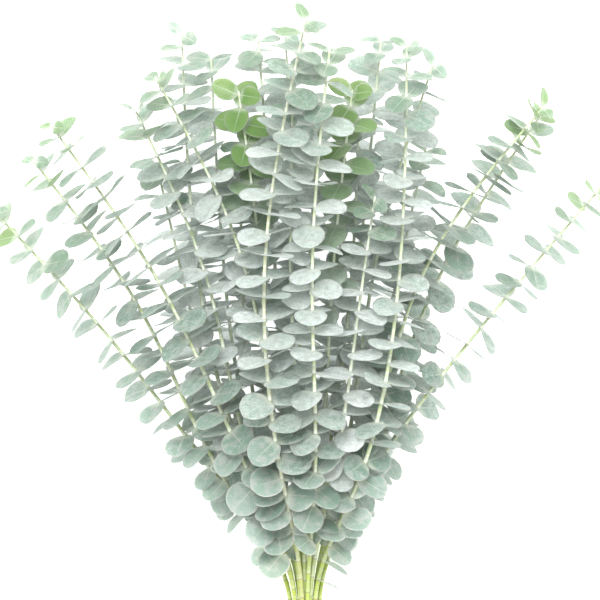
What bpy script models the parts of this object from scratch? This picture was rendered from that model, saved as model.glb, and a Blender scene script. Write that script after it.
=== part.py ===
"""A gathered bunch of leafy eucalyptus branches, lying on a flat surface.

Each branch is one grown piece: a slender stem with opposite pairs of thin, round leaves, every
pair turned a quarter turn from the one below. A flat band holds the bare stems together.
Metres, +Z up, the tips towards +Y. The origin is under the middle of the bunch, on the surface.
"""

import itertools
import math

import bmesh
import bpy
import numpy as np
from mathutils import Vector
from mathutils.bvhtree import BVHTree

# Each branch: name, then the points (x, y) it passes low down, half way and at its tip, then its
# lane and layer in the band, and the leafless length above it. x and y start at the band's middle.
BRANCHES = (
    ("branch_left_1", (-0.086, 0.136), (-0.190, 0.270), (-0.313, 0.406), -3, 0, 0.095),
    ("branch_left_2", (-0.078, 0.132), (-0.159, 0.296), (-0.274, 0.458), -3, 1, 0.060),
    ("branch_left_3", (-0.050, 0.132), (-0.138, 0.322), (-0.254, 0.492), -2, 3, 0.026),
    ("branch_left_4", (-0.052, 0.150), (-0.098, 0.338), (-0.170, 0.508), -2, 2, 0.075),
    ("branch_left_5", (-0.022, 0.142), (-0.066, 0.370), (-0.148, 0.538), -1, 3, 0.056),
    ("branch_left_6", (-0.062, 0.160), (-0.108, 0.350), (-0.124, 0.586), -2, 1, 0.160),
    ("branch_left_7", (-0.046, 0.150), (-0.082, 0.350), (-0.095, 0.562), -1, 0, 0.180),
    ("branch_left_8", (-0.028, 0.150), (-0.045, 0.358), (-0.066, 0.524), -1, 2, 0.150),
    ("branch_centre_1", (-0.014, 0.150), (-0.030, 0.350), (-0.047, 0.580), 0, 1, 0.180),
    ("branch_centre_2", (-0.004, 0.150), (-0.006, 0.350), (-0.020, 0.582), 0, 2, 0.160),
    ("branch_centre_3", (-0.022, 0.138), (-0.040, 0.338), (0.001, 0.592), -0.5, 4, 0.094),
    ("branch_centre_4", (0.010, 0.146), (0.007, 0.343), (0.024, 0.562), 0.5, 4, 0.078),
    ("branch_centre_5", (0.016, 0.150), (0.028, 0.346), (0.047, 0.525), 1, 2, 0.150),
    ("branch_right_1", (0.026, 0.150), (0.054, 0.350), (0.077, 0.580), 1, 0, 0.180),
    ("branch_right_2", (0.050, 0.130), (0.093, 0.338), (0.101, 0.571), 2, 3, 0.026),
    ("branch_right_3", (0.038, 0.150), (0.070, 0.350), (0.129, 0.555), 2, 1, 0.160),
    ("branch_right_4", (0.056, 0.150), (0.112, 0.330), (0.240, 0.512), 2, 2, 0.055),
    ("branch_right_5", (0.064, 0.150), (0.124, 0.315), (0.235, 0.500), 3, 0, 0.120),
    ("branch_right_6", (0.067, 0.143), (0.164, 0.274), (0.303, 0.436), 3, 1, 0.070),
    ("branch_inner_1", (-0.034, 0.140), (-0.062, 0.310), (-0.062, 0.490), -1, 1, 0.180),
    ("branch_inner_2", (0.000, 0.140), (0.002, 0.310), (0.014, 0.490), 0, 0, 0.180),
    ("branch_inner_3", (0.020, 0.140), (0.044, 0.310), (0.054, 0.500), 1, 1, 0.180),
    ("branch_inner_4", (-0.066, 0.150), (-0.114, 0.300), (-0.150, 0.455), -2, 0, 0.150),
    ("branch_inner_5", (-0.004, 0.140), (-0.014, 0.330), (-0.012, 0.520), 0, 3, 0.110),
    ("branch_inner_6", (0.028, 0.142), (0.052, 0.300), (0.069, 0.418), 1, 3, 0.100),
    ("branch_inner_7", (0.046, 0.145), (0.088, 0.315), (0.122, 0.470), 2, 0, 0.160),
)

STEM_RADIUS = 0.0021  # at the cut end
TIP_RADIUS = 0.0010
STEM_SIDES = 4
BELOW_BAND = 0.085  # bare stem below the band
SPLAY = 0.30  # how much wider the stems stand at their cut ends than in the band
CUT_SLANT = 0.9  # length of the slanting cut over its width
LANE_STEP = 0.0048  # stem to stem across the band
LAYER_STEP = 0.0047  # layer to layer in the band
FOOT = (0.017, 0.022, 0.024)  # heights of the lowest layer at the three points
RISE = (0.018, 0.024, 0.026)  # and how much each layer above it stands higher there
FLANK_REACH = 0.40  # the tips of the outer branches sink towards the surface over this width

INTERNODE = 0.0204  # leaf pair to leaf pair on the grown stem
LEAF_LENGTH = 0.0325
LEAF_BREADTH = 1.10  # breadth over length of a grown leaf
LEAN_HIGH = (24, 17)  # degrees the faces turn up high on a middle branch and on an outer one
LEAN_LOW = (-12, 50)  # and low on them
# A habit says how far the last pair is turned about the stem, how much shorter the youngest leaf is,
# how many degrees it points ahead, how many degrees one leaf of the pair and the other turn their faces
# up there, and over how many pairs that fades.
USUAL_TIP = (0.78, 0.36, 34, 50, 0, 0.6)
FACING_TIP = (0.30, 0.12, 24, 48, 48, 3.0)
LEVEL_TIP = (0.50, 0.22, 6, 0, 0, 1.0)
FACING_BRANCHES = ("branch_left_8", "branch_centre_5")
LEVEL_BRANCHES = (
    "branch_left_7",
    "branch_centre_1",
    "branch_centre_4",
    "branch_right_1",
    "branch_inner_1",
    "branch_inner_2",
    "branch_inner_3",
    "branch_inner_4",
    "branch_inner_7",
)
LEAF_BASE = 0.0012  # thickness where it leaves the stem
LEAF_MIDDLE = 0.0007  # thickness at its widest
LEAF_GAP = 0.00025  # kept round every leaf
LEAF_REACH = 0.050  # leaves whose middles are farther apart than this cannot touch
WIDEST_AT, TIP_WIDTH = 0.50, 0.46  # outline of the plate: where it is widest, and its blunt end

BAND_WIDTH = 0.009
BAND_WALL = 0.0016
BAND_GAP = 0.0003

SEED = 11


def lerp(a, b, share):
    return a + (b - a) * share


def slot(branch):
    """A branch's place (x, z) in the band."""
    *_, lane, layer, _ = branch
    return lane * LANE_STEP, BAND_WALL + BAND_GAP + STEM_RADIUS + layer * LAYER_STEP


def smooth_line(knots, start):
    """Points on a smooth line through the knots: a natural cubic spline that sets off along start."""
    knots = np.array(knots)
    n = len(knots)
    h = np.linalg.norm(np.diff(knots, axis=0), axis=1)
    chords = np.diff(knots, axis=0) / h[:, None]
    system, right = np.zeros((n, n)), np.zeros((n, 3))
    system[0, 0], right[0] = 1, start
    for i in range(1, n - 1):
        system[i, i - 1 : i + 2] = h[i], 2 * (h[i - 1] + h[i]), h[i - 1]
        right[i] = 3 * (h[i] * chords[i - 1] + h[i - 1] * chords[i])
    system[-1, -2:], right[-1] = (1, 2), 3 * chords[-1]
    slopes = np.linalg.solve(system, right)
    line = []
    for i in range(n - 1):
        t = np.linspace(0, 1, 25)[:, None]
        a = knots[i] * (1 + 2 * t) * (1 - t) ** 2 + knots[i + 1] * t * t * (3 - 2 * t)
        b = h[i] * (slopes[i] * t * (1 - t) ** 2 - slopes[i + 1] * t * t * (1 - t))
        line.append((a + b)[: 24 if i < n - 2 else 25])
    return np.concatenate(line)


class Stem:
    """The centre line of one stem, measured from its cut end, with a side and an up direction."""

    def __init__(self, branch, trim):
        x, z = slot(branch)
        *route, _, layer, _ = branch[1:]
        sink = max(0.0, 1 - abs(route[-1][0]) / FLANK_REACH)
        shares = (lerp(0.8, 1, sink), lerp(0.5, 1, sink), sink)
        heights = [f + r * layer * share for f, r, share in zip(FOOT, RISE, shares)]
        knots = [(x, 0, z)] + [(*point, height) for point, height in zip(route, heights)]
        above = smooth_line(knots, (0, 1, 0))
        down = np.linspace(BELOW_BAND - trim, 0, 9)[:-1]
        spread = 1 + SPLAY * (down / BELOW_BAND) ** 2
        below = np.stack([x * spread, -down, np.full(8, z)], axis=1)
        self.points = np.concatenate([below, above])
        steps = np.linalg.norm(np.diff(self.points, axis=0), axis=1)
        self.along = np.concatenate([[0], np.cumsum(steps)])
        self.length = self.along[-1]
        self.band = BELOW_BAND - trim

    def at(self, s):
        return np.array([np.interp(s, self.along, self.points[:, k]) for k in range(3)])

    def frame(self, s):
        """(side, up, forward) at s: forward runs to the tip and up leans away from the surface."""
        forward = self.at(min(s + 0.004, self.length)) - self.at(max(s - 0.004, 0))
        forward /= np.linalg.norm(forward)
        side = np.cross(forward, [0, 0, 1])
        side /= np.linalg.norm(side)
        return side, np.cross(side, forward), forward

    def radius(self, s):
        return lerp(STEM_RADIUS, TIP_RADIUS, (s / self.length) ** 2)

    def nodes(self, bare):
        """Where the leaf pairs stand, from the tip down to the bare part."""
        s, found = self.length - 0.0015, []
        while s > self.band + bare:
            found.append(s)
            uneven = 1 + 0.09 * math.sin(2.4 * len(found) + 40 * self.length)
            s -= INTERNODE * uneven * (1 - 0.42 * math.exp((1 - len(found)) / 0.8))
        return found


class Leaf:
    """One leaf: where it starts, its direction, breadth and face normal, and its size."""

    def __init__(self, root, outward, face, length, breadth, corner):
        self.root = root
        self.outward = outward
        self.face = face
        self.across = np.cross(face, outward)
        self.length = length
        self.breadth = breadth
        self.corner = corner

    def point(self, out, across, lift=0.0):
        return (
            self.root
            + self.outward * (out * self.length)
            + self.across * (across * self.breadth / 2)
            + self.face * lift
        )

    def plate(self, base_half):
        """Corners and faces of a flat plate a little larger than the leaf."""
        grow = LEAF_GAP / self.length
        wide = 1 + 2 * LEAF_GAP / self.breadth
        outline = (
            (2 * grow, base_half / (self.breadth / 2)),
            (WIDEST_AT, wide),
            (1 + grow, TIP_WIDTH * wide),
            (1 + grow, -TIP_WIDTH * wide),
            (WIDEST_AT, -wide),
            (2 * grow, -base_half / (self.breadth / 2)),
        )
        lift = LEAF_BASE / 2 + LEAF_GAP
        corners = [self.point(o, a, z) for z in (-lift, lift) for o, a in outline]
        n = len(outline)
        rim = [(i, (i + 1) % n, (i + 1) % n + n, i + n) for i in range(n)]
        return corners, [tuple(range(n))[::-1], tuple(range(n, 2 * n)), *rim]


def turned(vector, axis, angle):
    """vector turned about a unit axis square to it."""
    return vector * math.cos(angle) + np.cross(axis, vector) * math.sin(angle)


def posture_costs():
    """Ways to ease a leaf out of its neighbours' way, the slightest first: size, droop, swing."""
    sizes = (1, 0.88, 0.76, 0.64, 0.52)
    droops = (0, 13, -13, 26, -26, 40, 55)
    swings = (0, 15, -15, 30, -30)
    ways = itertools.product(sizes, droops, swings)
    return sorted(ways, key=lambda w: (1 - w[0]) * 11 + abs(w[1]) / 13 + abs(w[2]) / 15)


class Heap:
    """Everything that is already in place: stems, and the leaves placed so far."""

    def __init__(self, stems):
        self.tubes = {name: self.tube(stem) for name, stem in stems.items()}
        self.plates = []
        self.centres = []

    @staticmethod
    def tube(stem):
        """The stem as a six-sided tube, one gap thicker than it is."""
        rings = []
        for s in np.linspace(0, stem.length, 70):
            side, up, _ = stem.frame(s)
            radius = (stem.radius(s) + 2 * LEAF_GAP) * 1.15
            for k in range(6):
                turn = math.tau * k / 6
                rings.append(stem.at(s) + radius * (math.cos(turn) * side + math.sin(turn) * up))
        faces = [
            (6 * i + k, 6 * i + (k + 1) % 6, 6 * i + 6 + (k + 1) % 6, 6 * i + 6 + k)
            for i in range(69)
            for k in range(6)
        ]
        return BVHTree.FromPolygons([Vector(p) for p in rings], faces)

    def free(self, owner, leaf, base_half):
        """The leaf's plate if nothing is in its way, else None."""
        corners, faces = leaf.plate(base_half)
        if min(c[2] for c in corners) < 0:
            return None
        plate = BVHTree.FromPolygons([Vector(c) for c in corners], faces)
        if any(plate.overlap(tube) for name, tube in self.tubes.items() if name != owner):
            return None
        if self.centres:
            away = np.linalg.norm(np.array(self.centres) - leaf.point(0.5, 0), axis=1)
            for i in np.flatnonzero(away < LEAF_REACH):
                if plate.overlap(self.plates[i]):
                    return None
        return plate

    def add(self, leaf, plate):
        self.plates.append(plate)
        self.centres.append(leaf.point(0.5, 0))


def leaf_wish(stem, s, k, half, turn, habit, dice):
    """How the leaf on node k would stand by itself: a function that gives it, eased by a way."""
    vigour, flank, (_, shrink, ahead, one, other, reach) = habit
    side, up, forward = stem.frame(s)
    share = s / stem.length
    age = 1 - math.exp(-(k + 0.5) / 2.5)
    low = (1 - share) ** 3
    turn -= 0.75 * min(1, 2.5 * low) * (1 - flank) * math.sin(2 * turn) / 2
    lean = lerp(lerp(*LEAN_HIGH, flank), lerp(*LEAN_LOW, flank), low) + dice.normal(0, 5)
    lean = math.radians(lean + (one, other)[half] * math.exp(-k / reach))
    droop = math.radians(lerp(-ahead, 3, 1 - math.exp(-k / 1.4)) + dice.normal(0, 8))
    roll = math.radians(dice.normal(0, 9 + 24 * low))
    swing = math.radians(dice.normal(0, 7 + 14 * low))
    length = LEAF_LENGTH * vigour * (1 - shrink * math.exp(-k / 1.2)) * dice.uniform(0.92, 1.06)
    length *= lerp(1, 0.86, min(1, 2 * low))
    breadth = length * (LEAF_BREADTH * (0.58 + 0.42 * age)) * dice.uniform(0.96, 1.05)
    lifted = up * math.cos(lean) - forward * math.sin(lean)
    normal = forward * math.cos(lean) + up * math.sin(lean)
    start = stem.at(s)
    half_flat = stem.radius(s) * math.cos(math.pi / STEM_SIDES)
    foot = start + half_flat * (side * math.cos(turn) + up * math.sin(turn))

    def eased(way, corner):
        size, more_droop, more_swing = way
        angle = turn + swing + math.radians(more_swing)
        out = side * math.cos(angle) + lifted * math.sin(angle)
        fall = droop + math.radians(more_droop)
        outward = out * math.cos(fall) - normal * math.sin(fall)
        face = turned(normal * math.cos(fall) + out * math.sin(fall), outward, roll)
        return Leaf(foot, outward, face, length * size, breadth * size, corner)

    return eased


def grow_leaves(stems):
    """{branch: {node: [leaf or None, leaf or None]}}: the top of the heap first, tip to foot."""
    heap, ways = Heap(stems), posture_costs()
    grown = {}
    for number, branch in sorted(enumerate(BRANCHES), key=lambda b: -b[1][5]):
        name, _, _, tip, _, _, bare = branch
        dice = np.random.default_rng(SEED + number)
        stem = stems[name]
        vigour = dice.uniform(0.93, 1.05)
        flank = min(1, abs(tip[0]) / 0.25)
        tip_habit = USUAL_TIP
        if name in FACING_BRANCHES:
            tip_habit = FACING_TIP
        if name in LEVEL_BRANCHES:
            tip_habit = LEVEL_TIP
        first_turn = tip_habit[0] + dice.uniform(-0.3, 0.3)
        habit = (vigour, flank, tip_habit)
        grown[name] = {"turn": first_turn, "nodes": []}
        for k, s in enumerate(stem.nodes(bare)):
            pair = []
            for half in (0, 1):
                corner = (k + 2 * half) % 4
                turn = first_turn + math.pi / 2 * corner
                eased = leaf_wish(stem, s, k, half, turn, habit, dice)
                base_half = stem.radius(s)
                found = None
                for way in ways:
                    leaf = eased(way, corner)
                    plate = heap.free(name, leaf, base_half)
                    if plate:
                        heap.add(leaf, plate)
                        found = leaf
                        break
                pair.append(found)
            grown[name]["nodes"].append((s, pair))
    return grown


def extrude(bm, face):
    """The face pulled off as a new face, joined to its old edges by sides."""
    return bmesh.ops.extrude_discrete_faces(bm, faces=[face])["faces"][0]


def grow_branch(name, stem, grown):
    """One closed mesh: a four-sided stem, extruded ring by ring, with leaves pulled out of it."""
    bm = bmesh.new()
    corner = bm.verts.layers.int.new("corner")
    upper = bm.verts.layers.int.new("upper")

    def set_ring(face, s, is_upper, slant=0.0):
        """Moves a square face's corners onto the stem at s."""
        side, up, forward = stem.frame(s)
        for v in face.verts:
            turn = grown["turn"] + math.pi / STEM_SIDES * (2 * v[corner] - 1)
            out = side * math.cos(turn) + up * math.sin(turn)
            v.co = stem.at(s) + stem.radius(s) * (out + slant * math.sin(turn) * forward)
            v[upper] = is_upper

    bmesh.ops.create_cone(bm, cap_ends=True, segments=STEM_SIDES, radius1=1, radius2=1, depth=2)
    for v in bm.verts:
        v[corner] = round(math.atan2(-v.co.y, v.co.x) / (math.tau / STEM_SIDES)) % STEM_SIDES
    bm.faces.ensure_lookup_table()
    foot = min(bm.faces, key=lambda f: f.calc_center_median().z)
    cap = max(bm.faces, key=lambda f: f.calc_center_median().z)
    set_ring(foot, 0, 0, slant=CUT_SLANT)
    nodes = sorted(grown["nodes"], key=lambda node: node[0])
    held = [stem.band / 3, stem.band - 1.4 * BAND_WIDTH]
    bare_rings = held + list(np.linspace(stem.band, nodes[0][0], 7)[:-1])
    set_ring(cap, bare_rings[0], 1)
    for s in bare_rings[1:]:
        cap = extrude(bm, cap)
        set_ring(cap, s, 1)
    leaf_bases = []
    for s, pair in nodes:
        cap = extrude(bm, cap)
        set_ring(cap, s - LEAF_BASE / 2, 0)
        cap = extrude(bm, cap)
        set_ring(cap, s + LEAF_BASE / 2, 1)
        sides = {f for e in cap.edges for f in e.link_faces if f != cap}
        for leaf in filter(None, pair):
            wanted = {leaf.corner, (leaf.corner + 1) % STEM_SIDES}
            base = next(f for f in sides if {v[corner] for v in f.verts} == wanted)
            leaf_bases.append((leaf, base))
    thin = []
    for leaf, base in leaf_bases:
        middle = extrude(bm, base)
        place(middle, leaf, WIDEST_AT, 1, LEAF_MIDDLE / 2, corner, upper)
        end = extrude(bm, middle)
        place(end, leaf, 1, TIP_WIDTH, 0, corner, upper)
        thin += end.verts
    bmesh.ops.remove_doubles(bm, verts=thin, dist=1e-6)
    mesh = bpy.data.meshes.new(name)
    bm.to_mesh(mesh)
    bm.free()
    return mesh


def place(face, leaf, out, width, lift, corner, upper):
    """Moves the corners of a leaf's face to its outline: one side of it is the leaf's own corner."""
    for v in face.verts:
        way = 1 if v[corner] == leaf.corner else -1
        v.co = leaf.point(out, way * width, lift if v[upper] else -lift)


def turns_left(a, b, c):
    """Whether the way from a over b to c bends anticlockwise."""
    return np.cross(np.subtract(b, a), np.subtract(c, b)) > 1e-12


def hull(points):
    """The convex outline of 2D points, anticlockwise."""
    ordered = sorted(map(tuple, points))
    halves = []
    for run in (ordered, ordered[::-1]):
        half = []
        for p in run:
            while len(half) > 1 and not turns_left(half[-2], half[-1], p):
                half.pop()
            half.append(p)
        halves += half[:-1]
    return halves


def band_outline(places, reach):
    """The line that runs round all stems in the band, at a distance from their centres."""
    turns = [math.tau * k / 12 for k in range(12)]
    ring = [(x + reach * math.cos(a), z + reach * math.sin(a)) for x, z in places for a in turns]
    return hull(ring)


def make_band(places, collection):
    """A flat band round the bare stems: a ring-shaped outline, extruded along the stems."""
    curve = bpy.data.curves.new("binding_band", "CURVE")
    curve.dimensions = "2D"
    curve.fill_mode = "BOTH"
    curve.extrude = BAND_WIDTH / 2
    inner = STEM_RADIUS + BAND_GAP
    for reach in (inner, inner + BAND_WALL):
        outline = band_outline(places, reach)
        spline = curve.splines.new("POLY")
        spline.points.add(len(outline) - 1)
        spline.use_cyclic_u = True
        for point, (x, z) in zip(spline.points, outline):
            point.co = (x, z, 0, 1)
    band = bpy.data.objects.new("binding_band", curve)
    band.rotation_euler = (math.pi / 2, 0, 0)
    band.location = (0, -0.6 * BAND_WIDTH, 0)
    collection.objects.link(band)
    return band


def finish(name, colour, roughness):
    """A plain surface: colour and roughness of the grown or woven piece."""
    material = bpy.data.materials.new(name)
    material.use_nodes = True
    shader = material.node_tree.nodes["Principled BSDF"]
    shader.inputs["Base Color"].default_value = (*colour, 1)
    shader.inputs["Roughness"].default_value = roughness
    shader.inputs["Metallic"].default_value = 0.0
    return material


def main():
    for obj in list(bpy.data.objects):
        bpy.data.objects.remove(obj)
    collection = bpy.data.collections.new("eucalyptus_bunch")
    bpy.context.scene.collection.children.link(collection)
    trims = np.random.default_rng(SEED).uniform(0, 0.012, len(BRANCHES))
    stems = {b[0]: Stem(b, trim) for b, trim in zip(BRANCHES, trims)}
    grown = grow_leaves(stems)
    made = []
    for name, stem in stems.items():
        branch = bpy.data.objects.new(name, grow_branch(name, stem, grown[name]))
        branch.data.materials.append(finish(name, (0.42, 0.53, 0.46), 0.6))
        collection.objects.link(branch)
        made.append(branch)
    band = make_band([slot(b) for b in BRANCHES], collection)
    band.data.materials.append(finish("binding_band", (0.55, 0.42, 0.26), 0.9))
    made.append(band)
    bpy.context.view_layer.update()
    corners = np.array([o.matrix_world @ Vector(c) for o in made for c in o.bound_box])
    low, high = corners.min(axis=0), corners.max(axis=0)
    shift = Vector((-(low[0] + high[0]) / 2, -(low[1] + high[1]) / 2, -low[2]))
    for obj in made:
        obj.location += shift
    leaves = sum(leaf is not None for g in grown.values() for _, pair in g["nodes"] for leaf in pair)
    print(f"{len(stems)} branches, {leaves} leaves, shift {tuple(round(v, 4) for v in shift)}")


main()
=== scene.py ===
import itertools
import math

import bpy
import numpy as np
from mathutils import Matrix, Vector
from mathutils.bvhtree import BVHTree


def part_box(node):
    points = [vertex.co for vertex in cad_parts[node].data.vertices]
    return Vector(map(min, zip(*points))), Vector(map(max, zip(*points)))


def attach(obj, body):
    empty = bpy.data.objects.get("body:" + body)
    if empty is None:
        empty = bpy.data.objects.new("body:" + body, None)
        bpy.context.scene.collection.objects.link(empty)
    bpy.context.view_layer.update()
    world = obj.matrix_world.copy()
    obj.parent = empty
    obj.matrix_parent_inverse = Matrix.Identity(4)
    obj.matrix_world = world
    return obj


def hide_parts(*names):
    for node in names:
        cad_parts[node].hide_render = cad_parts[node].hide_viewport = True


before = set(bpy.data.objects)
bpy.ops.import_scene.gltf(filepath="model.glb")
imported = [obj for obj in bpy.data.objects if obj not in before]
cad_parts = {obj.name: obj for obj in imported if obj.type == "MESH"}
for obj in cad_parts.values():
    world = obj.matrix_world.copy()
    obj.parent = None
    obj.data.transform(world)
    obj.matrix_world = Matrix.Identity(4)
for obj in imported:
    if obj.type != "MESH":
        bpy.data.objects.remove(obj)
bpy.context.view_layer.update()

# The same heap of branches as the frame's, worked out again.
# name: the points (x, y) it passes low down, half way and at its tip, its lane, layer, bare length.
# x and y start at the middle of the band.
routes = {
    "branch_left_1": ((-0.086, 0.136), (-0.190, 0.270), (-0.313, 0.406), -3, 0, 0.095),
    "branch_left_2": ((-0.078, 0.132), (-0.159, 0.296), (-0.274, 0.458), -3, 1, 0.060),
    "branch_left_3": ((-0.050, 0.132), (-0.138, 0.322), (-0.254, 0.492), -2, 3, 0.026),
    "branch_left_4": ((-0.052, 0.150), (-0.098, 0.338), (-0.170, 0.508), -2, 2, 0.075),
    "branch_left_5": ((-0.022, 0.142), (-0.066, 0.370), (-0.148, 0.538), -1, 3, 0.056),
    "branch_left_6": ((-0.062, 0.160), (-0.108, 0.350), (-0.124, 0.586), -2, 1, 0.160),
    "branch_left_7": ((-0.046, 0.150), (-0.082, 0.350), (-0.095, 0.562), -1, 0, 0.180),
    "branch_left_8": ((-0.028, 0.150), (-0.045, 0.358), (-0.066, 0.524), -1, 2, 0.150),
    "branch_centre_1": ((-0.014, 0.150), (-0.030, 0.350), (-0.047, 0.580), 0, 1, 0.180),
    "branch_centre_2": ((-0.004, 0.150), (-0.006, 0.350), (-0.020, 0.582), 0, 2, 0.160),
    "branch_centre_3": ((-0.022, 0.138), (-0.040, 0.338), (0.001, 0.592), -0.5, 4, 0.094),
    "branch_centre_4": ((0.010, 0.146), (0.007, 0.343), (0.024, 0.562), 0.5, 4, 0.078),
    "branch_centre_5": ((0.016, 0.150), (0.028, 0.346), (0.047, 0.525), 1, 2, 0.150),
    "branch_right_1": ((0.026, 0.150), (0.054, 0.350), (0.077, 0.580), 1, 0, 0.180),
    "branch_right_2": ((0.050, 0.130), (0.093, 0.338), (0.101, 0.571), 2, 3, 0.026),
    "branch_right_3": ((0.038, 0.150), (0.070, 0.350), (0.129, 0.555), 2, 1, 0.160),
    "branch_right_4": ((0.056, 0.150), (0.112, 0.330), (0.240, 0.512), 2, 2, 0.055),
    "branch_right_5": ((0.064, 0.150), (0.124, 0.315), (0.235, 0.500), 3, 0, 0.120),
    "branch_right_6": ((0.067, 0.143), (0.164, 0.274), (0.303, 0.436), 3, 1, 0.070),
    "branch_inner_1": ((-0.034, 0.140), (-0.062, 0.310), (-0.062, 0.490), -1, 1, 0.180),
    "branch_inner_2": ((0.000, 0.140), (0.002, 0.310), (0.014, 0.490), 0, 0, 0.180),
    "branch_inner_3": ((0.020, 0.140), (0.044, 0.310), (0.054, 0.500), 1, 1, 0.180),
    "branch_inner_4": ((-0.066, 0.150), (-0.114, 0.300), (-0.150, 0.455), -2, 0, 0.150),
    "branch_inner_5": ((-0.004, 0.140), (-0.014, 0.330), (-0.012, 0.520), 0, 3, 0.110),
    "branch_inner_6": ((0.028, 0.142), (0.052, 0.300), (0.069, 0.418), 1, 3, 0.100),
    "branch_inner_7": ((0.046, 0.145), (0.088, 0.315), (0.122, 0.470), 2, 0, 0.160),
}

heap = {
    "belowBand": 0.085,  # bare stem under the band
    "laneStep": 0.0048,  # stem to stem across the band
    "layerStep": 0.0047,  # layer to layer in the band
    "foot": (0.017, 0.022, 0.024),  # heights of the lowest layer at the three points
    "rise": (0.018, 0.024, 0.026),  # how much higher each layer above it stands there
    "flankReach": 0.40,  # outer tips sink towards the surface over this width
    "flankRise": (0.8, 0.5, 0),  # share of the rise that is left there, at the three points
    "splay": 0.30,  # how much wider the stems stand at their cut ends than in the band
    "trim": 0.012,  # a stem is cut up to this much shorter than the longest one
    "seed": 11,
}
stemShape = {
    "foot": 0.0021,  # radius at the cut end
    "tip": 0.0010,
    "internode": 0.0204,  # leaf pair to leaf pair on the grown stem
    "uneven": 0.09,  # how much that differs along the stem
    "youngCloser": 0.42,  # how much closer the last two pairs stand
    "youngFade": 0.8,
    "topNode": 0.0015,  # the last pair's distance from the tip
    "frameHalf": 0.004,  # the direction is taken over this length both ways
    "sides": 10,
    "square": 0.05,  # how square its section is
    "swell": 0.14,  # how much thicker at a node
    "swellReach": 0.0013,
    "firstRing": 0.003,
    "ringEvery": 0.006,
    "nodeRings": (-0.0024, -0.0011, 0, 0.0011, 0.0024),  # closer rings round each node
    "budEnds": (0.0012, 0.0024, 0.0030),  # the bud's rings, measured from the last one
    "budWidths": (1.0, 0.62, 0.30),  # over the stem's own
    "cutSlant": 0.9,  # length of the slanting cut over its width
}
leafShape = {
    "length": 0.0325,
    "breadth": 1.10,  # over the length, on a grown leaf
    "baseThickness": 0.0012,
    "gap": 0.00025,  # kept round every leaf
    "reach": 0.050,  # leaves whose middles are farther apart than this cannot touch
    "widestAt": 0.50,
    "tipWidth": 0.46,
    "rows": 8,
    "columns": 7,
    "half": 0.00020,  # half of the blade's thickness
    "lowest": 0.0003,  # no leaf comes closer to the floor
    "leanHigh": (24, 17),  # degrees the faces turn up high on a middle branch and on an outer one
    "leanLow": (-12, 50),  # and low on them
}
leafGrowth = {
    "vigour": (0.93, 1.05),  # size of a branch's leaves, drawn between these
    "turnSpread": 0.3,  # of the last pair about the stem
    "flankWidth": 0.25,  # a branch whose tip is this far out grows as an outer one
    "growsOver": 2.5,  # leaf pairs until a leaf is nearly as broad as a grown one
    "youngBreadth": 0.58,  # of the youngest leaf, over a grown one's
    "lengthensOver": 1.2,
    "opensOver": 1.4,
    "droop": 3,  # degrees by which a grown leaf hangs
    "lowLength": 0.86,  # of the lowest leaves, over the usual
    "flattens": 0.75,  # how far the lowest pairs of a middle branch turn to its sides
    "leanSpread": 5,  # spreads are in degrees
    "droopSpread": 8,
    "rollSpread": (9, 24),  # high on the stem, and what is added low on it
    "swingSpread": (7, 14),
    "lengths": (0.92, 1.06),
    "breadths": (0.96, 1.05),
}
# How far the last pair is turned about the stem, how much shorter the youngest leaf is, how many
# degrees it points ahead, how many degrees one leaf of the pair and the other turn their faces up
# there, and over how many pairs that fades.
tipHabits = {
    "usual": (0.78, 0.36, 34, 50, 0, 0.6),
    "facing": (0.30, 0.12, 24, 48, 48, 3.0),
    "level": (0.50, 0.22, 6, 0, 0, 1.0),
}
facingBranches = ("branch_left_8", "branch_centre_5")
levelBranches = (
    "branch_left_7",
    "branch_centre_1",
    "branch_centre_4",
    "branch_right_1",
    "branch_inner_1",
    "branch_inner_2",
    "branch_inner_3",
    "branch_inner_4",
    "branch_inner_7",
)
bandShape = {
    "width": 0.009,
    "wall": 0.0016,
    "gap": 0.0003,
    "strands": 4,
    "strandHalf": 0.56,  # half of a strand's width over its share of the band
    "drift": 0.0003,  # how far a strand wanders across the band
    "driftWaves": 3,
    "thinner": 0.12,  # how much thinner every other strand is
    "rings": 160,
    "sides": 10,
}


def lerp(a, b, share):
    return a + (b - a) * share


def bandSlot(route):  # a branch's place (x, z) in the band
    *_, lane, layer, _ = route
    lowest = bandShape["wall"] + bandShape["gap"] + stemShape["foot"]
    return lane * heap["laneStep"], lowest + layer * heap["layerStep"]


def smoothLine(knots, start):  # natural cubic spline through the knots that sets off along start
    knots = np.array(knots)
    n = len(knots)
    h = np.linalg.norm(np.diff(knots, axis=0), axis=1)
    chords = np.diff(knots, axis=0) / h[:, None]
    system, right = np.zeros((n, n)), np.zeros((n, 3))
    system[0, 0], right[0] = 1, start
    for i in range(1, n - 1):
        system[i, i - 1 : i + 2] = h[i], 2 * (h[i - 1] + h[i]), h[i - 1]
        right[i] = 3 * (h[i] * chords[i - 1] + h[i - 1] * chords[i])
    system[-1, -2:], right[-1] = (1, 2), 3 * chords[-1]
    slopes = np.linalg.solve(system, right)
    line = []
    for i in range(n - 1):
        t = np.linspace(0, 1, 25)[:, None]
        a = knots[i] * (1 + 2 * t) * (1 - t) ** 2 + knots[i + 1] * t * t * (3 - 2 * t)
        b = h[i] * (slopes[i] * t * (1 - t) ** 2 - slopes[i + 1] * t * t * (1 - t))
        line.append((a + b)[: 24 if i < n - 2 else 25])
    return np.concatenate(line)


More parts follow.
